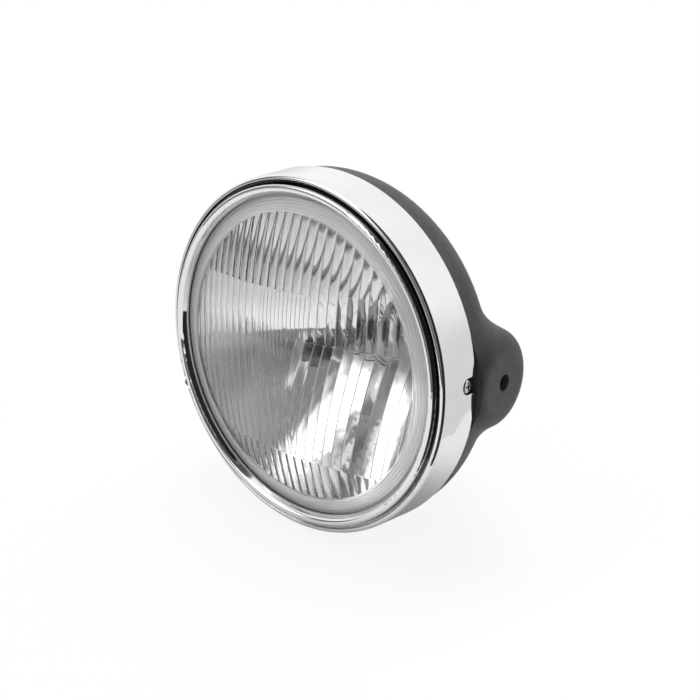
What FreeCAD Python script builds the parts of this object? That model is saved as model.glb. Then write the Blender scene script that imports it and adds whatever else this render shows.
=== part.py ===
import FreeCAD, Part
import math
import os

# Round motorcycle headlight: black moulded shell with two side mounting bosses,
# chromed trim ring, domed fluted glass, metallised reflector and a two-filament bulb.
# Millimetres. The origin lies on the optical axis, midway between the two side
# mounting holes. The lamp shines towards -Y, +X is to the right seen from the
# front, +Z is up.

V = FreeCAD.Vector
ORIGIN = V(0, 0, 0)
X_AXIS = V(1, 0, 0)
Y_AXIS = V(0, 1, 0)
Z_AXIS = V(0, 0, 1)

# Glass. Its radius sets the size of the whole front.
lens_r = 89.0
lens_flange_w = 4.2  # flat rim outside the dome
lens_flange_t = 5.6
lens_rim_w = 5.0  # rim outside the hollow back
lens_step = 0.6  # foot of the dome in front of the rim
dome_r = 260.0
glass_t = 5.0

# Flutes on the inner face of the glass, in rows
flute_margin = 7.2  # plain glass outside the flutes
flute_pitch = 5.65
groove_line_w = 0.5  # fine groove between two ribs
groove_line_depth = 0.12
flute_rise = 0.4
slant_rise = 0.18
soft_rise = 0.14
fine_pitch = 2.83
fine_rise = 0.06
row_sink = 0.15  # ribs behind the plain hollow
row_land = 0.9  # plain strip between two rows
upper_row_z = 37.7
side_row_z = 15.5
lower_row_z = -12.3
foot_row_z = -52.5
fine_half_w = 17.0
sector_x = 2.0  # the slanting flutes lie to the right of this line
window_top_z = 3.0  # plain window in front of the bulb
window_foot_z = -8.0
sector_tilt = 15.0  # degrees

# Trim ring, from the glass outwards
ring_rear_y = -19.6  # rear edge of the skirt, in front of the mounting holes
ring_depth = 23.4  # skirt edge to the front of the outer roll
ring_t = 0.9
ring_taper = 2.1  # how much wider the skirt's edge is than its front
lip_overlap = 2.7  # lip over the edge of the glass
lip_t = 1.2
lip_back = 1.9  # lip behind the outer roll
bead_w = 3.3  # lip to the crest of the inner bead
bead_rise = 1.9  # crest in front of the outer roll
bead_round = 2.8
groove_w = 3.5  # crest to the groove
groove_depth = 2.0
groove_flank = 0.5
roll_w = 2.8  # groove to the front corner
roll_round = 1.9
edge_round = 0.3

# Ring fixing pockets and screws, one each side
pocket_r = 4.0
pocket_inset = 5.1  # screw axis in front of the skirt's edge
pocket_depth = 2.6
pocket_angle = 2.3  # above the horizontal, degrees
screw_shank_r = 2.0
screw_head_r = 3.5
screw_head_h = 2.3
screw_length = 10.0
screw_clear = 0.2
cross_w = 1.1
cross_depth = 1.3
nut_side = 7.0
nut_t = 3.2
pad_depth = 4.0  # nut pads inside the spigot
pad_w = 14.0
recess_clear = 0.4  # spigot recess around a pocket

# Beam adjuster at the ring's left front corner
adjuster_angle = 201.0
adjuster_inset = 0.7
adjuster_pocket_r = 3.9
adjuster_floor = 4.2  # floor of the pocket behind the outer roll
adjuster_boss_t = 4.0
adjuster_shank_r = 1.5
adjuster_head_r = 2.7
adjuster_head_h = 3.4

# Gasket, retaining rim and shell seal
gasket_w = 2.5
gasket_t = 1.2
rim_t = 1.2
rim_clear = 0.5
seal_t = 1.0
seal_clear = 0.3

# Reflector
focal = 29.0
reflector_t = 1.2
reflector_flange_t = 1.2
flange_clear = 0.4  # flange inside the edge of the glass
mouth_step = 0.4  # mouth inside the hollow of the glass
bulb_hole_r = 19.0
seat_r = 30.0
seat_t = 1.6
seat_back = 2.0  # seat behind the bowl's vertex

# Shell
shell_t = 3.0
shell_step = 0.8  # shell inside the ring's skirt
shell_gap = 1.2  # visible gap behind the ring
spigot_t = 3.0
spigot_clear = 0.5
shell_cone = 37.8  # slope of the bowl's wall, degrees
shoulder_y = 15.1  # where wall and slope would meet, behind the skirt's edge
shoulder_round = 22.0
wire_room = 20.6  # behind the bulb's terminals
flat_margin = 1.2  # flat back around the cable inlet
notch_angle = 33.0  # drain notches, below the horizontal
notch_w = 9.0
notch_len = 4.0
notch_depth = 1.6

# Side mounting bosses
boss_reach = 4.8  # boss face outside the shell's wall
boss_root = 35.2  # depth of the boss's cone inside the shell's wall
boss_r = 23.7  # radius where the boss ends, before rounding
boss_base_r = 33.7
boss_round = 10.8
boss_blend = 18.0
mount_hole_r = 4.25
mount_wall = 5.5
mount_nut_af = 13.0
mount_nut_t = 6.5
mount_thread_r = 3.4
mount_nut_clear = 0.05
mount_core_r = 11.5
mount_core_len = 17.0

# Bulb
collar_r = 21.5
collar_t = 1.2
collar_tube_r = 18.6
collar_tube_t = 1.0
collar_tube_len = 4.0
tab_w = 9.0
tab_len = 4.0
glass_r = 8.5
glass_wall = 1.0
glass_length = 60.0
tip_round = 0.8  # share of the bulb's radius
base_r = 17.0
base_len = 11.0
terminal_w = 8.0
terminal_t = 0.8
terminal_len = 14.0
terminal_at = 9.0
filament_r = 0.8
filament_len = 5.5
main_filament_at = 29.0  # in front of the seat
main_filament_z = 0.4
dip_filament_at = 36.0
dip_filament_z = 1.6
lead_r = 0.35
stay_r = 0.25
near_post_x = 1.5
far_post_x = 4.5
post_rise = 1.5  # lead posts above their filament
shield_r = 3.2
shield_t = 0.4
shield_len = 6.4
shield_z = 1.4
shield_rim_z = 0.9

# Bulb clip and boot
wire_r = 0.75
clip_clear = 0.15  # legs outside the bulb's base
clip_inset = 6.0  # hinge inside the edge of the seat
clip_bend = 4.0
lug_w = 4.0
catch_rise = 4.5  # catches higher than the hinge's mirror place
boot_t = 2.0
boot_w = 3.0  # boot outside the bulb seat
boot_lip = 0.5  # hook of the boot over the bulb seat
boot_shoulder = 6.0
boot_neck_w = 4.0
boot_neck_t = 2.5
boot_short = 1.0  # neck in front of the base's rear face

# Cable inlet
inlet_r = 10.0
inlet_bore_r = 7.0
inlet_flange_w = 2.8
inlet_lip = 2.0
inlet_round = 0.6

# Radii that follow from the glass
lens_edge_r = lens_r - lens_flange_w
lens_bore_r = lens_r - lens_rim_w
flute_zone_r = lens_bore_r - flute_margin
gasket_r = lens_r - gasket_w
reflector_mouth_r = lens_bore_r - mouth_step
rim_in_r = reflector_mouth_r + reflector_t + rim_clear
lip_r = lens_r - lip_overlap
bead_r = lip_r + bead_w
groove_r = bead_r + groove_w
ring_front_r = groove_r + roll_w
ring_r = ring_front_r + ring_taper
adjuster_at_r = ring_front_r - adjuster_inset
shell_r = ring_r - shell_step
boss_face_x = shell_r + boss_reach
boss_base_x = shell_r - boss_root
mount_core_x = boss_face_x - mount_core_len
mount_seat_x = boss_face_x - mount_wall
inlet_flange_r = inlet_r + inlet_flange_w
back_flat_r = inlet_flange_r + flat_margin
boot_r = seat_r + boot_w
clip_x = base_r + wire_r + clip_clear
clip_z = seat_r - clip_inset
catch_z = catch_rise - clip_z

# Stations along the optical axis, from the front
ring_front_y = ring_rear_y - ring_depth
lip_front_y = ring_front_y + lip_back
lip_rear_y = lip_front_y + lip_t
lens_front_y = lip_rear_y + gasket_t
lens_rear_y = lens_front_y + lens_flange_t
reflector_front_y = lens_rear_y
rim_front_y = reflector_front_y + reflector_flange_t
seal_front_y = rim_front_y + rim_t
spigot_front_y = seal_front_y + seal_t
pocket_y = ring_rear_y - pocket_inset
shell_front_y = ring_rear_y + shell_gap
dome_start_y = lens_front_y - lens_step
dome_apex_y = dome_start_y - (dome_r - math.sqrt(dome_r ** 2 - lens_edge_r ** 2))
dome_centre_y = dome_apex_y + dome_r
vertex_y = reflector_front_y + reflector_mouth_r ** 2 / (4 * focal)
seat_y = vertex_y + seat_back  # rear face of the bulb seat
collar_rear_y = seat_y + collar_t
clip_y = collar_rear_y + wire_r
base_rear_y = collar_rear_y + base_len
shell_back_y = base_rear_y + terminal_len + wire_room


def corner_wire(corners):
    """Closed wire through (x, y, rounding) corners in the XY plane."""
    nodes = []
    count = len(corners)
    for i in range(count):
        here = V(corners[i][0], corners[i][1], 0)
        rounding = corners[i][2] if len(corners[i]) > 2 else 0
        if not rounding:
            nodes.append((here, None, here))
            continue
        before = V(corners[i - 1][0], corners[i - 1][1], 0) - here
        after = V(corners[(i + 1) % count][0], corners[(i + 1) % count][1], 0) - here
        before.normalize()
        after.normalize()
        half = before.getAngle(after) / 2
        reach = rounding / math.tan(half)
        middle = before + after
        middle.normalize()
        crest = here + middle * (rounding / math.sin(half) - rounding)
        nodes.append((here + before * reach, crest, here + after * reach))
    edges = []
    for i in range(count):
        start, crest, end = nodes[i]
        if crest:
            edges.append(Part.Arc(start, crest, end).toShape())
        following = nodes[(i + 1) % count][0]
        if (following - end).Length > 1e-6:
            edges.append(Part.makeLine(end, following))
    return Part.Wire(edges)


def lathe(corners, axis=Y_AXIS):
    """Solid of revolution of an XY outline about the X or the Y axis."""
    return Part.Face(corner_wire(corners)).revolve(ORIGIN, axis, 360)


def rod(radius, start, end):
    """Round bar between two points."""
    span = end - start
    return Part.makeCylinder(radius, span.Length, start, span)


def disc(radius, y0, y1):
    """Round plate about the optical axis between two stations."""
    return rod(radius, V(0, y0, 0), V(0, y1, 0))


def tube(outer, inner, y0, y1):
    """Ring about the optical axis between two stations."""
    return lathe([(inner, y0), (outer, y0), (outer, y1), (inner, y1)])


def box(x0, x1, y0, y1, z0, z1):
    """Box between two corners."""
    return Part.makeBox(x1 - x0, y1 - y0, z1 - z0, V(x0, y0, z0))


def turned(shape, degrees):
    """Copy turned about the optical axis, raising +X towards +Z."""
    copy = shape.copy()
    copy.rotate(ORIGIN, Y_AXIS, -degrees)
    return copy


def both_sides(shape):
    """The shape and its mirror image on the other side of the lamp."""
    return [shape, shape.mirror(ORIGIN, X_AXIS)]


def hexagon(across_flats, x0, x1):
    """Hexagonal bar along X, with two flats level."""
    reach = across_flats / math.sqrt(3)
    points = []
    for i in range(7):
        turn = math.radians(60 * i)
        points.append(V(x0, reach * math.cos(turn), reach * math.sin(turn)))
    return Part.Face(Part.makePolygon(points)).extrude(V(x1 - x0, 0, 0))


def skirt_r(y):
    """Outer radius of the ring's skirt at a station."""
    return ring_r - ring_taper * (ring_rear_y - y) / ring_depth


spigot_r = skirt_r(spigot_front_y) - ring_t - spigot_clear
spigot_in_r = spigot_r - spigot_t
pad_x = spigot_in_r - pad_depth
pocket_floor_x = skirt_r(pocket_y) - pocket_depth


def save(shape, name):
    shape.exportStep("parts/" + name + ".step")


def ring_outline():
    """Outside of the ring's section, from the skirt's edge to the inner lip."""
    groove_y = ring_front_y + groove_depth
    bead_y = ring_front_y - bead_rise
    return [
        (ring_r, ring_rear_y),
        (ring_front_r, ring_front_y, roll_round),
        (groove_r + groove_flank, ring_front_y, groove_flank),
        (groove_r, groove_y, edge_round),
        (groove_r - groove_flank, groove_y, edge_round),
        (bead_r + bead_round / 2, bead_y, bead_round / 2),
        (bead_r - bead_round / 2, bead_y, bead_round),
        (lip_r, lip_front_y, edge_round),
    ]


def pocket_blank(radius, floor_x):
    """Round-ended slot along the skirt, open at its rear edge."""
    outer_x = ring_r + pocket_depth
    slot = box(floor_x, outer_x, pocket_y, shell_front_y, -radius, radius)
    return slot.fuse(rod(radius, V(floor_x, pocket_y, 0), V(outer_x, pocket_y, 0)))


def make_trim_ring():
    inside = [
        (lip_r, lip_rear_y),
        (skirt_r(lip_rear_y) - ring_t - edge_round, lip_rear_y, 2 * edge_round),
        (ring_r - ring_t, ring_rear_y),
    ]
    ring = lathe(ring_outline() + inside)
    envelope = lathe(ring_outline() + [(0, lip_front_y), (0, ring_rear_y)])
    outer = pocket_blank(pocket_r + ring_t, pocket_floor_x - ring_t)
    inner = pocket_blank(pocket_r, pocket_floor_x)
    hole = rod(screw_shank_r + screw_clear, V(pad_x, pocket_y, 0), V(ring_r, pocket_y, 0))
    cup = outer.cut(inner).cut(hole)
    for side in (0, 1):
        side_outer = both_sides(turned(outer, pocket_angle))[side]
        side_cup = both_sides(turned(cup, pocket_angle))[side]
        ring = ring.cut(side_outer).fuse(side_cup.common(envelope))
    at = V(adjuster_at_r, ring_front_y + adjuster_floor, 0)
    mouth = V(adjuster_at_r, ring_front_y - bead_rise, 0)
    plug = rod(adjuster_pocket_r + ring_t, mouth, at + Y_AXIS * adjuster_boss_t)
    well = rod(adjuster_pocket_r, mouth, at)
    bore = rod(adjuster_shank_r, at, at + Y_AXIS * 2 * adjuster_boss_t)
    block = turned(plug.cut(well).cut(bore), adjuster_angle).common(envelope)
    ring = ring.cut(turned(plug, adjuster_angle)).fuse(block)
    return ring.removeSplitter()


def flute_cutter(pitch, rise, shift=0.0, tilt=0.0):
    """Space behind a face of upright ribs, sunk in the hollow of the glass."""
    radius = dome_r - glass_t + row_sink + rise
    half_count = int(flute_zone_r / pitch) + 2
    points = []
    for i in range(2 * half_count + 1):
        for side in (-1, 1):
            x = (i - half_count + shift) * pitch + side * groove_line_w / 2
            points.append(V(x, dome_centre_y - math.sqrt(radius ** 2 - x ** 2), 0))
    edges = []
    for i, (start, end) in enumerate(zip(points, points[1:])):
        middle = (start + end) * 0.5
        if i % 2:
            edges.append(Part.Arc(start, middle + Y_AXIS * rise, end).toShape())
        else:
            groove = middle - Y_AXIS * groove_line_depth
            edges.append(Part.makeLine(start, groove))
            edges.append(Part.makeLine(groove, end))
    inner_y = max(points[0].y, points[-1].y) + glass_t
    inner = [V(points[-1].x, inner_y, 0), V(points[0].x, inner_y, 0)]
    ends = [points[-1]] + inner + [points[0]]
    for start, end in zip(ends, ends[1:]):
        edges.append(Part.makeLine(start, end))
    face = Part.Face(Part.Wire(edges))
    pivot = V(0, dome_centre_y, 0)
    widest = math.degrees(math.asin((flute_zone_r + 2 * flute_pitch) / dome_r))
    face.rotate(pivot, X_AXIS, -widest)
    cutter = face.revolve(pivot, X_AXIS, 2 * widest)
    return turned(cutter, -tilt)


def flute_zone(*spans):
    """Stretch of the glass over joined (x0, x1, z0, z1) fields, less half a land all round."""
    zone = disc(flute_zone_r, dome_apex_y, lens_rear_y)
    half = row_land / 2
    fields = []
    for x0, x1, z0, z1 in spans:
        fields.append(box(x0 + half, x1 - half, dome_apex_y, lens_rear_y, z0 + half, z1 - half))
    patch = fields[0]
    for field in fields[1:]:
        patch = patch.fuse(field)
    return zone.common(patch.removeSplitter())


def make_lens():
    centre = V(0, dome_centre_y, 0)
    front_y = dome_apex_y - glass_t
    cap = Part.makeSphere(dome_r, centre).common(disc(lens_edge_r, front_y, lens_rear_y))
    glass = cap.fuse(disc(lens_r, lens_front_y, lens_rear_y))
    hollow = Part.makeSphere(dome_r - glass_t, centre)
    glass = glass.cut(hollow.common(disc(lens_bore_r, front_y, lens_rear_y + glass_t)))
    edge = lens_r
    join = 2 * row_land  # lets two fields of one row run into each other
    upright = flute_cutter(flute_pitch, flute_rise)
    soft = flute_cutter(flute_pitch, soft_rise)
    fine = flute_cutter(fine_pitch, fine_rise)
    slanted = flute_cutter(flute_pitch, slant_rise, tilt=sector_tilt)
    foot = flute_cutter(flute_pitch, flute_rise, shift=0.5)
    rows = [
        (
            upright,
            (-edge, edge, upper_row_z, edge),
            (fine_half_w, edge, side_row_z, upper_row_z + join),
        ),
        (soft, (-edge, -fine_half_w, lower_row_z, upper_row_z)),
        (
            fine,
            (-fine_half_w, fine_half_w, side_row_z, upper_row_z),
            (-fine_half_w, sector_x, window_top_z, side_row_z + join),
        ),
        (fine, (-fine_half_w, sector_x, lower_row_z, window_foot_z)),
        (slanted, (sector_x, edge, foot_row_z, side_row_z)),
        (soft, (-edge, sector_x, foot_row_z, lower_row_z)),
        (foot, (-edge, edge, -edge, foot_row_z)),
    ]
    for cutter, *spans in rows:
        glass = glass.cut(cutter.common(flute_zone(*spans)))
    return glass


def make_reflector():
    inner = []
    outer = []
    steps = 10
    for i in range(steps + 1):
        r = reflector_mouth_r + (bulb_hole_r - reflector_mouth_r) * i / steps
        slope = r / (2 * focal)
        run = math.sqrt(1 + slope ** 2)
        y = vertex_y - r ** 2 / (4 * focal)
        inner.append(V(r, y, 0))
        outer.append(V(r + reflector_t * slope / run, y + reflector_t / run, 0))
    bowl_in = Part.BSplineCurve()
    bowl_in.interpolate(inner)
    bowl_out = Part.BSplineCurve()
    bowl_out.interpolate(outer)
    flange_r = lens_r - flange_clear
    flange_rear_y = reflector_front_y + reflector_flange_t
    rear = [
        inner[-1],
        V(bulb_hole_r, seat_y, 0),
        V(seat_r, seat_y, 0),
        V(seat_r, seat_y - seat_t, 0),
        V(outer[-1].x, seat_y - seat_t, 0),
        outer[-1],
    ]
    front = [
        outer[0],
        V(outer[0].x, flange_rear_y, 0),
        V(flange_r, flange_rear_y, 0),
        V(flange_r, reflector_front_y, 0),
        inner[0],
    ]
    edges = [bowl_in.toShape(), bowl_out.toShape()]
    for path in (rear, front):
        for start, end in zip(path, path[1:]):
            edges.append(Part.makeLine(start, end))
    wire = Part.Wire(Part.__sortEdges__(edges))
    bowl = Part.Face(wire).revolve(ORIGIN, Y_AXIS, 360)
    for lug in make_clip_lugs():
        bowl = bowl.fuse(lug)
    return bowl.removeSplitter()


def make_clip_lugs():
    """Hinge block above the bulb and the two catches that hold the clip's legs."""
    lug_y = clip_y + 2 * wire_r
    half = lug_w / 2
    hinge_x = clip_x - clip_bend
    hinge = box(-hinge_x, hinge_x, seat_y, lug_y, clip_z - half, clip_z + half)
    hinge = hinge.common(disc(seat_r, seat_y, lug_y))
    slot = rod(wire_r, V(-clip_x, clip_y, clip_z), V(clip_x, clip_y, clip_z))
    catch = box(clip_x - half, clip_x + half, seat_y, lug_y, catch_z - half, catch_z + half)
    groove = rod(wire_r, V(clip_x, clip_y, -clip_z), V(clip_x, clip_y, clip_z))
    return [hinge.cut(slot)] + both_sides(catch.cut(groove))


def bowl_outline(wall_r, knee_y, back_y, thinner):
    """Half section of the bowl, or of its hollow, behind a given wall."""
    slope = math.tan(math.radians(shell_cone))
    half_turn = math.radians((90 - shell_cone) / 2)
    corner_r = wall_r - slope * (back_y - knee_y)
    outer_corner_r = shell_r - slope * (shell_back_y - ring_rear_y - shoulder_y)
    back_round = (outer_corner_r - back_flat_r) / math.tan(half_turn)
    return [
        (wall_r, knee_y, shoulder_round - thinner),
        (corner_r, back_y, back_round - thinner),
        (0, back_y),
    ]


def make_shell():
    slope = math.tan(math.radians(shell_cone))
    knee_y = ring_rear_y + shoulder_y
    front = [(0, shell_front_y), (shell_r, shell_front_y)]
    body = lathe(front + bowl_outline(shell_r, knee_y, shell_back_y, 0))
    boss = lathe(
        [
            (boss_base_x, 0),
            (boss_face_x, 0),
            (boss_face_x, boss_r, boss_round),
            (boss_base_x, boss_base_r),
        ],
        X_AXIS,
    )
    reach = boss_face_x
    ahead = box(-reach, reach, -reach, shell_front_y, -reach, reach)
    for piece in both_sides(boss):
        body = body.fuse(piece.cut(ahead))
    body = blend(body.removeSplitter())
    wall_run = shell_t / math.cos(math.radians(shell_cone))
    in_knee_y = knee_y + (shell_r - wall_run - spigot_in_r) / slope
    mouth_y = spigot_front_y - spigot_t
    front = [(0, mouth_y), (spigot_in_r, mouth_y)]
    cavity = lathe(front + bowl_outline(spigot_in_r, in_knee_y, shell_back_y - shell_t, shell_t))
    spigot = tube(spigot_r, spigot_in_r - spigot_t, spigot_front_y, shell_front_y + shell_t)
    body = body.fuse(spigot).cut(cavity)
    core = rod(mount_core_r, V(mount_core_x, 0, 0), V(mount_seat_x, 0, 0))
    half = pad_w / 2
    pad = box(pad_x, spigot_r, spigot_front_y, pocket_y + half, -half, half)
    pad = turned(pad.common(disc(spigot_r - spigot_t / 2, spigot_front_y, 0)), pocket_angle)
    for piece in both_sides(core) + both_sides(pad):
        body = body.fuse(piece)
    hole = rod(mount_hole_r, V(boss_base_x, 0, 0), V(boss_face_x + mount_wall, 0, 0))
    nut_pocket = hexagon(mount_nut_af + 2 * mount_nut_clear, boss_base_x, mount_seat_x)
    recess = pocket_blank(pocket_r + ring_t + recess_clear, pocket_floor_x - ring_t - screw_clear)
    screw_hole = rod(screw_shank_r + screw_clear, V(boss_base_x, pocket_y, 0), V(ring_r, pocket_y, 0))
    notch_y = shell_front_y + notch_len
    half = notch_w / 2
    notch = box(shell_r - notch_depth, ring_r, ring_rear_y, notch_y, -half, half)
    cuts = [hole, nut_pocket, turned(recess, pocket_angle), turned(screw_hole, pocket_angle)]
    cuts.append(turned(notch, -notch_angle))
    for cut in cuts:
        for piece in both_sides(cut):
            body = body.cut(piece)
    return body.cut(disc(inlet_r, shell_back_y - 2 * shell_t, shell_back_y + shell_t))


def blend(body):
    """Round the seams where the side bosses run into the bowl."""
    seams = []
    for edge in body.Edges:
        faces = body.ancestorsOfType(edge, Part.Face)
        if len(faces) < 2:
            continue
        mid = edge.valueAt((edge.FirstParameter + edge.LastParameter) / 2)
        off_axis = math.hypot(mid.y, mid.z)
        beside = abs(mid.x) > boss_base_x and mid.y > shell_front_y + shell_gap / 2
        around = boss_r < off_axis < boss_base_r + boss_round
        if beside and around and seam_is_concave(faces, mid):
            seams.append(edge)
    return body.makeFillet(boss_blend, seams)


def seam_is_concave(faces, mid):
    """True where two faces meet in an inside corner sharper than five degrees."""
    normals = []
    centres = []
    for face in faces[:2]:
        u, v = face.Surface.parameter(mid)
        normals.append(face.normalAt(u, v))
        centres.append(face.CenterOfMass)
    if normals[0].getAngle(normals[1]) < math.radians(5):
        return False
    return normals[0].dot(centres[1] - mid) > 0 or normals[1].dot(centres[0] - mid) > 0


def make_screw(head_r, head_h, shank_r, length):
    """Cross-head screw along X, head seat at x = 0 and shank towards -X."""
    head = lathe([(0, 0), (0, head_r), (head_h, head_r, 0.45 * head_h), (head_h, 0)], X_AXIS)
    screw = head.fuse(rod(shank_r, V(0, 0, 0), V(-length, 0, 0)))
    arm = head_r * 0.62
    for half_y, half_z in ((arm, cross_w / 2), (cross_w / 2, arm)):
        screw = screw.cut(box(head_h - cross_depth, 2 * head_h, -half_y, half_y, -half_z, half_z))
    return screw.removeSplitter()


def make_ring_screws():
    screw = make_screw(screw_head_r, screw_head_h, screw_shank_r, screw_length)
    screw.translate(V(pocket_floor_x, pocket_y, 0))
    return Part.makeCompound(both_sides(turned(screw, pocket_angle)))


def make_ring_nuts():
    half = nut_side / 2
    nut = box(pad_x - nut_t, pad_x, pocket_y - half, pocket_y + half, -half, half)
    nut = nut.cut(rod(screw_shank_r, V(pad_x - 2 * nut_t, pocket_y, 0), V(spigot_r, pocket_y, 0)))
    return Part.makeCompound(both_sides(turned(nut, pocket_angle)))


def make_adjuster_screw():
    screw = make_screw(adjuster_head_r, adjuster_head_h, adjuster_shank_r, adjuster_boss_t)
    screw.rotate(ORIGIN, Z_AXIS, -90)
    screw.translate(V(adjuster_at_r, ring_front_y + adjuster_floor, 0))
    return turned(screw, adjuster_angle)


def make_mount_nuts():
    nut = hexagon(mount_nut_af, mount_seat_x - mount_nut_t, mount_seat_x)
    bore = rod(mount_thread_r, V(mount_seat_x - 2 * mount_nut_t, 0, 0), V(boss_face_x, 0, 0))
    return Part.makeCompound(both_sides(nut.cut(bore)))


def make_lens_gasket():
    return tube(lens_r, gasket_r, lip_rear_y, lens_front_y)


def make_retaining_rim():
    return tube(skirt_r(rim_front_y) - ring_t - rim_clear, rim_in_r, rim_front_y, seal_front_y)


def make_shell_seal():
    return tube(spigot_r - seal_clear, spigot_in_r, seal_front_y, spigot_front_y)


def make_bulb_collar():
    plate = tube(collar_r, glass_r, seat_y, collar_rear_y)
    half = tab_w / 2
    for turn in (30, 150, 270):
        tab = box(collar_tube_r, collar_r + tab_len, seat_y, collar_rear_y, -half, half)
        plate = plate.fuse(turned(tab, turn))
    sleeve = tube(collar_tube_r, collar_tube_r - collar_tube_t, seat_y - collar_tube_len, seat_y)
    return plate.fuse(sleeve).removeSplitter()


def bulb_form(radius, tip_y):
    """Round-ended cylinder from the bulb's tip back to its collar."""
    corners = [(0, tip_y), (radius, tip_y, tip_round * radius)]
    return lathe(corners + [(radius, collar_rear_y), (0, collar_rear_y)])


def make_bulb_glass():
    tip_y = collar_rear_y - glass_length
    return bulb_form(glass_r, tip_y).cut(bulb_form(glass_r - glass_wall, tip_y + glass_wall))


def make_filaments():
    """Two bars, each held at its ends by a stay and a lead post from the base."""
    pieces = []
    for at, height, side in (
        (main_filament_at, main_filament_z, -1),
        (dip_filament_at, dip_filament_z, 1),
    ):
        front_y = seat_y - at - filament_len / 2
        rear_y = front_y + filament_len
        coil = rod(filament_r, V(0, front_y, height), V(0, rear_y, height))
        z = height + post_rise
        for y, reach in ((front_y + filament_r, far_post_x), (rear_y - filament_r, near_post_x)):
            x = side * reach
            coil = coil.fuse(rod(stay_r, V(0, y, height), V(x, y, z)))
            coil = coil.fuse(rod(lead_r, V(x, y - filament_r, z), V(x, collar_rear_y, z)))
        pieces.append(coil)
    return Part.makeCompound(pieces)


def make_dip_shield():
    """Half cup under the dipped filament, open above, on one support wire."""
    y0 = seat_y - dip_filament_at - shield_len / 2
    y1 = y0 + shield_len
    cup = tube(shield_r, shield_r - shield_t, y0, y1).fuse(disc(shield_r, y0 - shield_t, y0))
    cup.translate(V(0, 0, shield_z))
    reach = 2 * shield_r
    cup = cup.cut(box(-reach, reach, y0 - reach, y1 + reach, shield_rim_z, shield_rim_z + reach))
    foot_z = shield_z - shield_r + shield_t / 2
    return cup.fuse(rod(lead_r, V(0, y1 - shield_r / 3, foot_z), V(0, collar_rear_y, foot_z)))


def make_bulb_base():
    return disc(base_r, collar_rear_y, base_rear_y)


def make_bulb_terminals():
    y0 = base_rear_y
    y1 = y0 + terminal_len
    half = terminal_w / 2
    top = box(-half, half, y0, y1, terminal_at, terminal_at + terminal_t)
    side = box(terminal_at, terminal_at + terminal_t, y0, y1, -half, half)
    return Part.makeCompound([top] + both_sides(side))


def make_bulb_clip():
    """Spring wire bent to a square arch, swept round its two bends."""
    foot_z = catch_z - lug_w / 8
    turn = clip_bend * math.sqrt(0.5)
    legs = []
    tops = []
    for side in (1, -1):
        foot = V(side * clip_x, clip_y, foot_z)
        leg = V(side * clip_x, clip_y, clip_z - clip_bend)
        mid = V(side * (clip_x - clip_bend + turn), clip_y, clip_z - clip_bend + turn)
        top = V(side * (clip_x - clip_bend), clip_y, clip_z)
        legs += [Part.makeLine(foot, leg), Part.Arc(leg, mid, top).toShape()]
        tops.append(top)
    bridge = Part.makeLine(tops[0], tops[1])
    spine = Part.Wire(Part.__sortEdges__(legs + [bridge]))
    section = Part.Wire(Part.makeCircle(wire_r, V(clip_x, clip_y, foot_z), Z_AXIS))
    return spine.makePipeShell([section], True, True)


def make_bulb_boot():
    y0 = seat_y - seat_t
    top = base_rear_y - boot_short
    bore_r = boot_r - boot_t
    return lathe(
        [
            (seat_r, y0),
            (boot_r, y0, boot_t / 2),
            (boot_r, seat_y + boot_shoulder, boot_w),
            (base_r + boot_neck_w, top, 0.75 * boot_t),
            (base_r, top),
            (base_r, top - boot_neck_t),
            (base_r + boot_neck_w - boot_t / 2, top - boot_neck_t),
            (bore_r, seat_y + boot_shoulder - boot_t),
            (bore_r, seat_y + boot_lip),
            (seat_r, seat_y + boot_lip),
        ]
    )


def make_cable_grommet():
    inner_y = shell_back_y - shell_t
    inner_r = inlet_flange_r - inlet_lip / 2
    return lathe(
        [
            (inlet_bore_r, inner_y - inlet_lip),
            (inner_r, inner_y - inlet_lip, inlet_round),
            (inner_r, inner_y),
            (inlet_r, inner_y),
            (inlet_r, shell_back_y),
            (inlet_flange_r, shell_back_y),
            (inlet_flange_r, shell_back_y + inlet_lip, 2 * inlet_round),
            (inlet_bore_r, shell_back_y + inlet_lip),
        ]
    )


os.makedirs("parts", exist_ok=True)

save(make_shell(), "shell")
save(make_trim_ring(), "trim_ring")
save(make_lens(), "lens")
save(make_lens_gasket(), "lens_gasket")
save(make_reflector(), "reflector")
save(make_retaining_rim(), "retaining_rim")
save(make_shell_seal(), "shell_seal")
save(make_ring_screws(), "ring_screws")
save(make_ring_nuts(), "ring_nuts")
save(make_adjuster_screw(), "adjuster_screw")
save(make_mount_nuts(), "mount_nuts")
save(make_bulb_collar(), "bulb_collar")
save(make_bulb_glass(), "bulb_glass")
save(make_filaments(), "filaments")
save(make_dip_shield(), "dip_shield")
save(make_bulb_base(), "bulb_base")
save(make_bulb_terminals(), "bulb_terminals")
save(make_bulb_clip(), "bulb_clip")
save(make_bulb_boot(), "bulb_boot")
save(make_cable_grommet(), "cable_grommet")
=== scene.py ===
import bmesh
import bpy
import math
from mathutils import Matrix, Vector


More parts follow.
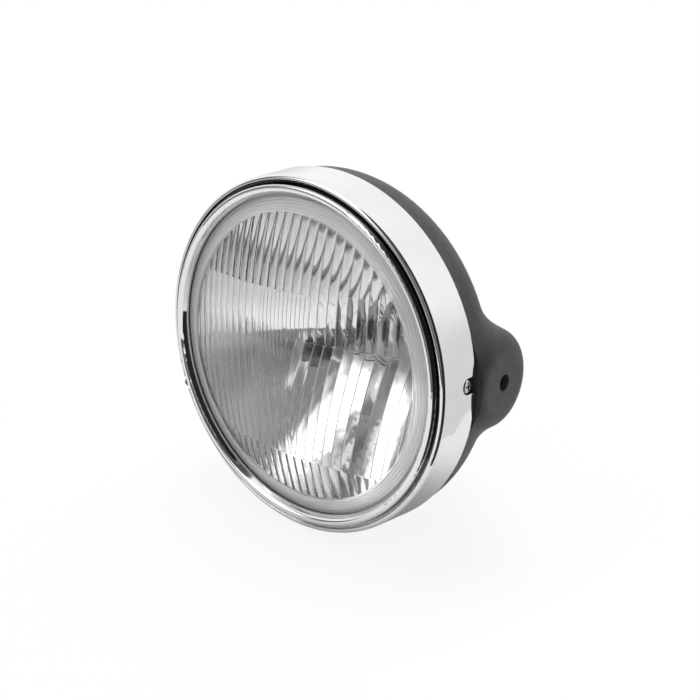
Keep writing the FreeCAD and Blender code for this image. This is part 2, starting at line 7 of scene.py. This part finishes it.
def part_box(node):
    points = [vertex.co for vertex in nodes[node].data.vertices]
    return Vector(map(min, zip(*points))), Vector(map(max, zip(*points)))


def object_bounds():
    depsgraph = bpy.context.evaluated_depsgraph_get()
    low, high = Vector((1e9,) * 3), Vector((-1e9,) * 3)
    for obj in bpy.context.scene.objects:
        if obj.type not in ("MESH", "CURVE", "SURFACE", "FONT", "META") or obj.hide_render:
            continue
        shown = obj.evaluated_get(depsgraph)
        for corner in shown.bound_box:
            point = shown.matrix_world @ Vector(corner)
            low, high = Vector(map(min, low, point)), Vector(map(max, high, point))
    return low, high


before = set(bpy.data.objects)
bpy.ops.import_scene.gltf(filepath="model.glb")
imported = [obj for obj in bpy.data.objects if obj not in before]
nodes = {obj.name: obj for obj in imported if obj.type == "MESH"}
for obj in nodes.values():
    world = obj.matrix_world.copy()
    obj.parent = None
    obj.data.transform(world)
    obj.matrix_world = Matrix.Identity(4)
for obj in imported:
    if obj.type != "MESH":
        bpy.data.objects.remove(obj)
cad_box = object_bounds()

# Noise in the finishes
NOISE_SPAN = (0.3, 0.7)  # range that its values mostly fill
NOISE_ROUGHNESS = 0.55

# Places on the lamp that the finishes follow, in metres
LENS_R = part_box("lens")[1].x
FLUTE_R = LENS_R - 0.0122  # edge of the flutes, where the plain margin begins
MARGIN_FADE = (0.0002, 0.0010)  # outside FLUTE_R, from no margin to full margin
DOME_R = 0.2575  # dome of the glass
BULB_PAINT_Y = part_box("bulb_glass")[0].y + 0.01045  # edge of the dipped tip
BULB_PAINT_FADE = 0.0004

# Chrome of the ring, and the dark band in its groove, in metres. The band is partly dirt and partly painted
# shade and painted dark reflection
PLATE_SMOOTHING = 0.0008  # reach over which the facets of the mesh are smoothed
DIRT_AND_SHADE_R = LENS_R + 0.0034
DIRT_AND_SHADE_HALF_WIDTH = (0.0007, 0.0015)  # full within the first, none past the second
DIRT_AND_SHADE_FRONT_Y = (-0.040, -0.038)  # only on the front of the ring
DIRT_AND_SHADE_Z = (-0.085, 0.02)  # thinned out at the first, full above the second
DIRT_AND_SHADE_AT_FOOT = 0.3
# grey of the groove band: dirt, made darker still as painted shade and painted reflection
DIRT_AND_SHADE_GREY = 0.10

# Frosting of the glass, as the share of light that it scatters
MARGIN_FROST = 0.45
GROOVE_FROST = 0.8
GROOVE_LEAN = (0.22, 0.38)  # sideways lean of a groove's walls, from none to full frost
MARGIN_ROUGHNESS = 0.05
GRIND_RATE = 4200.0  # radians per metre of radius, for rings 1.5 mm apart

# Table top, with its outline in multiples of the lamp's height over it
FLOOR_Z = cad_box[0].z - 0.0005
TABLE_OUTLINE = [
    (-6.0, -3.5),
    (-2.9, -3.5),
    (0.0, -4.5),
    (2.8, -3.6),
    (1.1, -1.15),
    (1.3, -0.75),
    (1.5, 0.0),
    (1.6, 0.6),
    (3.3, 2.3),
    (4.0, 6.0),
    (-6.0, 6.0),
]
SHADOW_REACH = (0.1, 0.3)  # distance over which the shadow fades, in metres
SHADOW_WHITE = 0.88  # share of plain white under the lamp
MIRRORED_REACH = (0.13, 0.21)  # the same fade in reflections
DULL_LEFT_X = (-0.28, -0.06)  # reflections show a duller table on the left
DULL_LEFT_WHITE = 0.3

# Studio that mirrors and glass see: longitude from straight ahead of the lamp and latitude, in degrees.
# Each area gives its west, east, south and north edge as (none, full), and its level. Later ones lie on top.
SURROUND = 1.1
STUDIO_AREAS = {
    "low": ((-181, -180), (181, 180), (-91, -90), (24, 0), 0.8),
    "near": ((-66, -60), (48, 38), (-91, -90), (22, 6), 0.34),
    "front": ((-14, 2), (52, 40), (-91, -90), (88, 78), 0.10),
    "right": ((38, 50), (124, 108), (-91, -90), (99, 95), 0.02),
    "gap": ((-64, -59), (-47, -51), (-30, -20), (55, 40), 0.13),
    "softbox": ((-54, -42), (0, -20), (10, 26), (75, 60), 2.2),
    "strip": ((23.5, 24.5), (29, 28), (-12, -6), (36, 30), 0.8),
}
AMBIENT = 0.75  # even light on matt surfaces
BACKDROP = 1.0

# Lamp over the object, in metres and watts
LAMP_PLACE = Vector((-0.1, 0.15, 1.3))
LAMP_SIZE = 0.8
LAMP_POWER = 12.0

# Camera: turn and rise in degrees, and its place from the middle of the ring's rear edge in metres
CAMERA_TURN = 40.493
CAMERA_RISE = 18.477
CAMERA_RIGHT = 0.014893
CAMERA_UP = -0.000215
CAMERA_BACK = 0.5
CAMERA_AIM = Vector((0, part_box("trim_ring")[1].y, 0))
CAMERA_LENS_MM = 47.52
CAMERA_SENSOR_MM = 36
CAMERA_CLIP = 0.01


def grey(value):
    return (value, value, value)


def add_node(tree, kind, inputs=None, **settings):
    """A new node with its settings and its inputs, which are plain values or outputs of other nodes."""
    made = tree.nodes.new(kind)
    for key, value in settings.items():
        setattr(made, key, value)
    for key, value in (inputs or {}).items():
        if hasattr(value, "is_linked"):
            tree.links.new(value, made.inputs[key])
        else:
            made.inputs[key].default_value = value
    return made


def add_mix(tree, share, under, over):
    """Two colours, the second where share is 1."""
    colours = [value if hasattr(value, "is_linked") else (*value, 1) for value in (under, over)]
    inputs = {"Factor": share, "A": colours[0], "B": colours[1]}
    return add_node(tree, "ShaderNodeMix", inputs, data_type="RGBA").outputs["Result"]


def add_maths(tree, operation, a, b=0.0):
    return add_node(tree, "ShaderNodeMath", {0: a, 1: b}, operation=operation).outputs[0]


class Shader:
    """A node material with one principled shader and a few wiring helpers."""

    def __init__(self, name):
        self.material = bpy.data.materials.new(name)
        self.material.use_nodes = True
        self.tree = self.material.node_tree
        self.bsdf = self.tree.nodes["Principled BSDF"]
        self.coords = self.node("ShaderNodeTexCoord").outputs["Object"]

    def set(self, **values):
        for key, value in values.items():
            self.bsdf.inputs[key.replace("_", " ")].default_value = value

    def node(self, kind, inputs=None, **settings):
        return add_node(self.tree, kind, inputs, **settings)

    def wire(self, output, socket):
        self.tree.links.new(output, self.bsdf.inputs[socket])

    def maths(self, operation, a, b=0.0):
        return add_maths(self.tree, operation, a, b)

    def times(self, a, b):
        return self.maths("MULTIPLY", a, b)

    def place(self):
        """The point's own coordinates, as outputs named X, Y and Z."""
        return self.node("ShaderNodeSeparateXYZ", {"Vector": self.coords}).outputs

    def radius(self):
        """Distance from the lamp's axis."""
        flat = self.node("ShaderNodeVectorMath", {0: self.coords, 1: (1, 0, 1)}, operation="MULTIPLY")
        length = self.node("ShaderNodeVectorMath", {0: flat.outputs[0]}, operation="LENGTH")
        return length.outputs["Value"]

    def noise(self, scale, detail, stretch=None):
        vector = self.coords
        if stretch:
            mapping = self.node("ShaderNodeMapping", {"Vector": vector, "Scale": stretch})
            vector = mapping.outputs["Vector"]
        inputs = {"Vector": vector, "Scale": scale, "Detail": detail, "Roughness": NOISE_ROUGHNESS}
        return self.node("ShaderNodeTexNoise", inputs).outputs["Fac"]

    def remap(self, value, low, high, span=NOISE_SPAN):
        """From low at the start of the span to high at its end."""
        inputs = {"Value": value, "From Min": span[0], "From Max": span[1], "To Min": low, "To Max": high}
        return self.node("ShaderNodeMapRange", inputs).outputs["Result"]

    def colours(self, value, dark, light):
        """From dark to light over the span of a noise."""
        ramp = self.node("ShaderNodeValToRGB", {"Fac": value})
        for stop, position, colour in zip(ramp.color_ramp.elements, NOISE_SPAN, (dark, light)):
            stop.position = position
            stop.color = (*colour, 1)
        return ramp.outputs["Color"]

    def mixed(self, share, under, over):
        return add_mix(self.tree, share, under, over)

    def bump(self, height, strength, distance, normal=None):
        inputs = {"Height": height, "Strength": strength, "Distance": distance}
        if normal:
            inputs["Normal"] = normal
        self.wire(self.node("ShaderNodeBump", inputs).outputs["Normal"], "Normal")


def black_paint():
    """Satin black moulding with a fine orange-peel skin."""
    s = Shader("satin_black")
    s.set(IOR=1.5)
    s.wire(s.colours(s.noise(60, 5), (0.032, 0.032, 0.033), (0.043, 0.043, 0.045)), "Base Color")
    s.wire(s.remap(s.noise(220, 4), 0.44, 0.54), "Roughness")
    s.bump(s.noise(1600, 2), strength=0.05, distance=0.0002)
    return s.material


def chrome():
    """Bright chrome, faintly wavy, with a dark band in the groove of the ring, less of it at the foot. The
    band is partly dirt and partly painted shade and painted dark reflection.
    """
    s = Shader("chrome_plate")
    s.set(Metallic=1.0)
    plate = s.colours(s.noise(35, 3), (0.76, 0.765, 0.77), (0.82, 0.825, 0.83))
    place = s.place()
    # Dark band around the groove: partly dirt, partly painted shade and painted dark reflection, only on the
    # front and weaker towards the bottom
    away = s.maths("ABSOLUTE", s.maths("SUBTRACT", s.radius(), DIRT_AND_SHADE_R))
    dirt_and_shade = s.remap(away, 1.0, 0.0, DIRT_AND_SHADE_HALF_WIDTH)
    dirt_and_shade = s.times(dirt_and_shade, s.remap(place["Y"], 1.0, 0.0, DIRT_AND_SHADE_FRONT_Y))
    dirt_and_shade = s.times(dirt_and_shade, s.remap(place["Z"], DIRT_AND_SHADE_AT_FOOT, 1.0, DIRT_AND_SHADE_Z))
    s.wire(s.mixed(dirt_and_shade, plate, grey(DIRT_AND_SHADE_GREY)), "Base Color")
    s.wire(s.remap(s.noise(90, 5), 0.03, 0.07), "Roughness")
    smooth = s.node("ShaderNodeBevel", {"Radius": PLATE_SMOOTHING}, samples=8).outputs["Normal"]
    s.bump(s.noise(34, 2), strength=0.07, distance=0.004, normal=smooth)
    return s.material


def clear_glass():
    """Pressed glass: clear over the flutes, frosted in their grooves and on the ground plain margin."""
    s = Shader("lens_glass")
    s.set(IOR=1.5)
    radius = s.radius()
    margin = s.remap(radius, 0.0, 1.0, [FLUTE_R + fade for fade in MARGIN_FADE])
    facing = s.node("ShaderNodeTexCoord").outputs["Normal"]
    normal = s.node("ShaderNodeSeparateXYZ", {"Vector": facing}).outputs
    dome = s.times(s.times(s.place()["X"], 1 / DOME_R), s.maths("SIGN", normal["Y"]))
    lean = s.maths("ABSOLUTE", s.maths("ADD", normal["X"], dome))
    groove = s.remap(lean, 0.0, 1.0, GROOVE_LEAN)
    frost = s.maths("MAXIMUM", s.times(margin, MARGIN_FROST), s.times(groove, GROOVE_FROST))
    clear = s.colours(s.noise(25, 2), (0.975, 0.98, 0.978), (0.995, 1.0, 0.998))
    s.wire(s.mixed(frost, clear, grey(1.0)), "Base Color")
    polish = s.remap(s.noise(120, 3), 0.0, 0.02)
    s.wire(s.maths("ADD", polish, s.times(margin, MARGIN_ROUGHNESS)), "Roughness")
    s.wire(s.maths("SUBTRACT", 1.0, frost), "Transmission Weight")
    rings = s.maths("SINE", s.times(radius, GRIND_RATE))
    s.bump(s.times(rings, margin), strength=0.35, distance=0.0002)
    return s.material


def mirror():
    """Metallised bowl, a little hazy."""
    s = Shader("reflector_mirror")
    s.set(Metallic=1.0)
    s.wire(s.colours(s.noise(40, 4), grey(0.90), grey(0.95)), "Base Color")
    s.wire(s.remap(s.noise(70, 4), 0.04, 0.10), "Roughness")
    return s.material


def plated_steel(name, dark, light, smooth, rough, grain):
    """Plated steel with a fine directional grain."""
    s = Shader(name)
    s.set(Metallic=1.0)
    s.wire(s.colours(s.noise(90, 5), grey(dark), grey(light)), "Base Color")
    s.wire(s.remap(s.noise(300, 4, grain), smooth, rough), "Roughness")
    s.bump(s.noise(1500, 3, grain), strength=0.05, distance=0.0001)
    return s.material


def rubber():
    """Matt black rubber with a moulded, dusty skin."""
    s = Shader("black_rubber")
    s.wire(s.colours(s.noise(120, 5), grey(0.018), grey(0.036)), "Base Color")
    s.wire(s.remap(s.noise(400, 3), 0.62, 0.82), "Roughness")
    s.bump(s.noise(1500, 3), strength=0.15, distance=0.0002)
    return s.material


def bulb_envelope():
    """Thin clear bulb whose round tip is dipped in black paint."""
    s = Shader("bulb_envelope")
    s.set(IOR=1.45)
    span = (BULB_PAINT_Y - BULB_PAINT_FADE, BULB_PAINT_Y + BULB_PAINT_FADE)
    paint = s.remap(s.place()["Y"], 1.0, 0.0, span)
    tint = s.colours(s.noise(200, 4), grey(0.93), grey(0.98))
    s.wire(s.mixed(paint, tint, grey(0.012)), "Base Color")
    s.wire(s.maths("SUBTRACT", 1.0, paint), "Transmission Weight")
    s.wire(s.remap(s.noise(150, 3), 0.0, 0.05), "Roughness")
    return s.material


def moulded_base():
    """Dark grey moulded bulb base."""
    s = Shader("bulb_base_moulding")
    s.wire(s.colours(s.noise(140, 4), grey(0.14), grey(0.2)), "Base Color")
    s.wire(s.remap(s.noise(300, 3), 0.5, 0.65), "Roughness")
    s.bump(s.noise(1200, 2), strength=0.1, distance=0.0002)
    return s.material


def brass():
    """Bare brass blades with light tarnish."""
    s = Shader("brass_blade")
    s.set(Metallic=1.0)
    s.wire(s.colours(s.noise(160, 6), (0.52, 0.4, 0.2), (0.75, 0.6, 0.32)), "Base Color")
    s.wire(s.remap(s.noise(250, 4), 0.25, 0.45), "Roughness")
    return s.material


def finish_nodes():
    """Each piece of the lamp gets its material."""
    zinc = plated_steel("zinc_plate", 0.5, 0.64, smooth=0.28, rough=0.42, grain=(1, 8, 1))
    bright = plated_steel("screw_plate", 0.62, 0.74, smooth=0.14, rough=0.26, grain=(8, 1, 1))
    wire = plated_steel("bare_wire", 0.36, 0.5, smooth=0.3, rough=0.5, grain=(1, 8, 1))
    finishes = [
        (black_paint(), ["shell"]),
        (chrome(), ["trim_ring"]),
        (clear_glass(), ["lens"]),
        (mirror(), ["reflector"]),
        (zinc, ["retaining_rim", "ring_nuts", "mount_nuts", "bulb_collar"]),
        (bright, ["ring_screws", "adjuster_screw", "bulb_clip"]),
        (wire, ["filaments", "dip_shield"]),
        (rubber(), ["lens_gasket", "shell_seal", "bulb_boot", "cable_grommet"]),
        (bulb_envelope(), ["bulb_glass"]),
        (moulded_base(), ["bulb_base"]),
        (brass(), ["bulb_terminals"]),
    ]
    for material, names in finishes:
        for name in names:
            nodes[name].data.materials.clear()
            nodes[name].data.materials.append(material)


def table_paint():
    """Pale paint that shows as white beyond the lamp's shadow, directly and in reflections."""
    s = Shader("pale_floor")
    s.set(Roughness=0.8)
    s.wire(s.colours(s.noise(6, 3), grey(0.78), grey(0.82)), "Base Color")
    path = s.node("ShaderNodeLightPath").outputs
    under_lamp = {0: s.coords, 1: (0, 0, FLOOR_Z)}
    distance = s.node("ShaderNodeVectorMath", under_lamp, operation="DISTANCE").outputs["Value"]
    seen = s.times(path["Is Camera Ray"], s.remap(distance, SHADOW_WHITE, 1.0, SHADOW_REACH))
    mirrored = s.maths("ADD", path["Is Glossy Ray"], path["Is Transmission Ray"])
    mirrored = s.times(mirrored, s.remap(distance, 0.0, 1.0, MIRRORED_REACH))
    mirrored = s.times(mirrored, s.remap(s.place()["X"], DULL_LEFT_WHITE, 1.0, DULL_LEFT_X))
    white = s.node("ShaderNodeEmission", {"Color": (*grey(1.0), 1), "Strength": BACKDROP})
    share = s.maths("MAXIMUM", seen, mirrored)
    mix = s.node("ShaderNodeMixShader", {0: share, 1: s.bsdf.outputs[0], 2: white.outputs[0]})
    s.tree.links.new(mix.outputs[0], s.tree.nodes["Material Output"].inputs["Surface"])
    return s.material


def make_floor():
    """Pale table top under the lamp, with a near edge on the right."""
    mesh = bpy.data.meshes.new("floor")
    bm = bmesh.new()
    corners = [(-FLOOR_Z * x, -FLOOR_Z * y, FLOOR_Z) for x, y in TABLE_OUTLINE]
    bm.faces.new([bm.verts.new(corner) for corner in corners])
    bm.to_mesh(mesh)
    bm.free()
    mesh.materials.append(table_paint())
    floor = bpy.data.objects.new("floor", mesh)
    bpy.context.scene.collection.objects.link(floor)


def make_world():
    """White backdrop for the camera, a studio for reflections and even light for matt surfaces."""
    world = bpy.data.worlds.new("studio")
    bpy.context.scene.world = world
    world.use_nodes = True
    tree = world.node_tree
    tree.nodes.clear()

    def times(a, b):
        return add_maths(tree, "MULTIPLY", a, b)

    def step(value, none, full):
        low, high = (0.0, 1.0) if none < full else (1.0, 0.0)
        inputs = {
            "Value": value,
            "From Min": min(none, full),
            "From Max": max(none, full),
            "To Min": low,
            "To Max": high,
        }
        return add_node(tree, "ShaderNodeMapRange", inputs, interpolation_type="SMOOTHSTEP").outputs[0]

    def window(west, east, south, north):
        across = times(step(longitude, *west), step(longitude, *east))
        along = times(step(latitude, *south), step(latitude, *north))
        return times(across, along)

    way = add_node(tree, "ShaderNodeTexCoord").outputs["Generated"]
    axis = add_node(tree, "ShaderNodeSeparateXYZ", {"Vector": way}).outputs
    degrees = 180 / math.pi
    longitude = times(add_maths(tree, "ARCTAN2", axis["X"], times(axis["Y"], -1.0)), degrees)
    latitude = times(add_maths(tree, "ARCSINE", axis["Z"]), degrees)
    studio = grey(SURROUND)
    for *edges, level in STUDIO_AREAS.values():
        studio = add_mix(tree, window(*edges), studio, grey(level))
    path = add_node(tree, "ShaderNodeLightPath").outputs
    mirrored = add_maths(tree, "ADD", path["Is Glossy Ray"], path["Is Transmission Ray"])
    straight = add_maths(tree, "MAXIMUM", path["Is Camera Ray"], mirrored)
    backdrop = add_mix(tree, path["Is Camera Ray"], studio, grey(BACKDROP))
    colour = add_mix(tree, straight, grey(AMBIENT), backdrop)
    sky = add_node(tree, "ShaderNodeBackground", {"Color": colour, "Strength": 1.0})
    add_node(tree, "ShaderNodeOutputWorld", {"Surface": sky.outputs[0]})


def make_lamp():
    """Soft round lamp above, which reflections don't show."""
    light = bpy.data.lights.new("top_softbox", "AREA")
    light.shape = "DISK"
    light.size = LAMP_SIZE
    light.energy = LAMP_POWER
    lamp = bpy.data.objects.new("top_softbox", light)
    bpy.context.scene.collection.objects.link(lamp)
    lamp.visible_glossy = False
    lamp.location = LAMP_PLACE
    lamp.rotation_euler = (-LAMP_PLACE).to_track_quat("-Z", "Y").to_euler()


def make_camera():
    """The photograph's viewpoint, to the right of the lamp and above it."""
    turn = math.radians(CAMERA_TURN)
    rise = math.radians(CAMERA_RISE)
    back = Vector((math.sin(turn) * math.cos(rise), -math.cos(turn) * math.cos(rise), math.sin(rise)))
    right = Vector((math.cos(turn), math.sin(turn), 0))
    up = Vector((-math.sin(turn) * math.sin(rise), math.cos(turn) * math.sin(rise), math.cos(rise)))
    place = CAMERA_AIM + CAMERA_RIGHT * right + CAMERA_UP * up + CAMERA_BACK * back
    data = bpy.data.cameras.new("camera")
    data.sensor_width = CAMERA_SENSOR_MM
    data.lens = CAMERA_LENS_MM
    data.clip_start = CAMERA_CLIP
    camera = bpy.data.objects.new("camera", data)
    bpy.context.scene.collection.objects.link(camera)
    turned = Matrix((right, up, back)).transposed().to_4x4()
    camera.matrix_world = Matrix.Translation(place) @ turned
    bpy.context.scene.camera = camera


finish_nodes()
make_floor()
make_world()
make_lamp()
make_camera()
bpy.context.scene.view_settings.view_transform = "Standard"
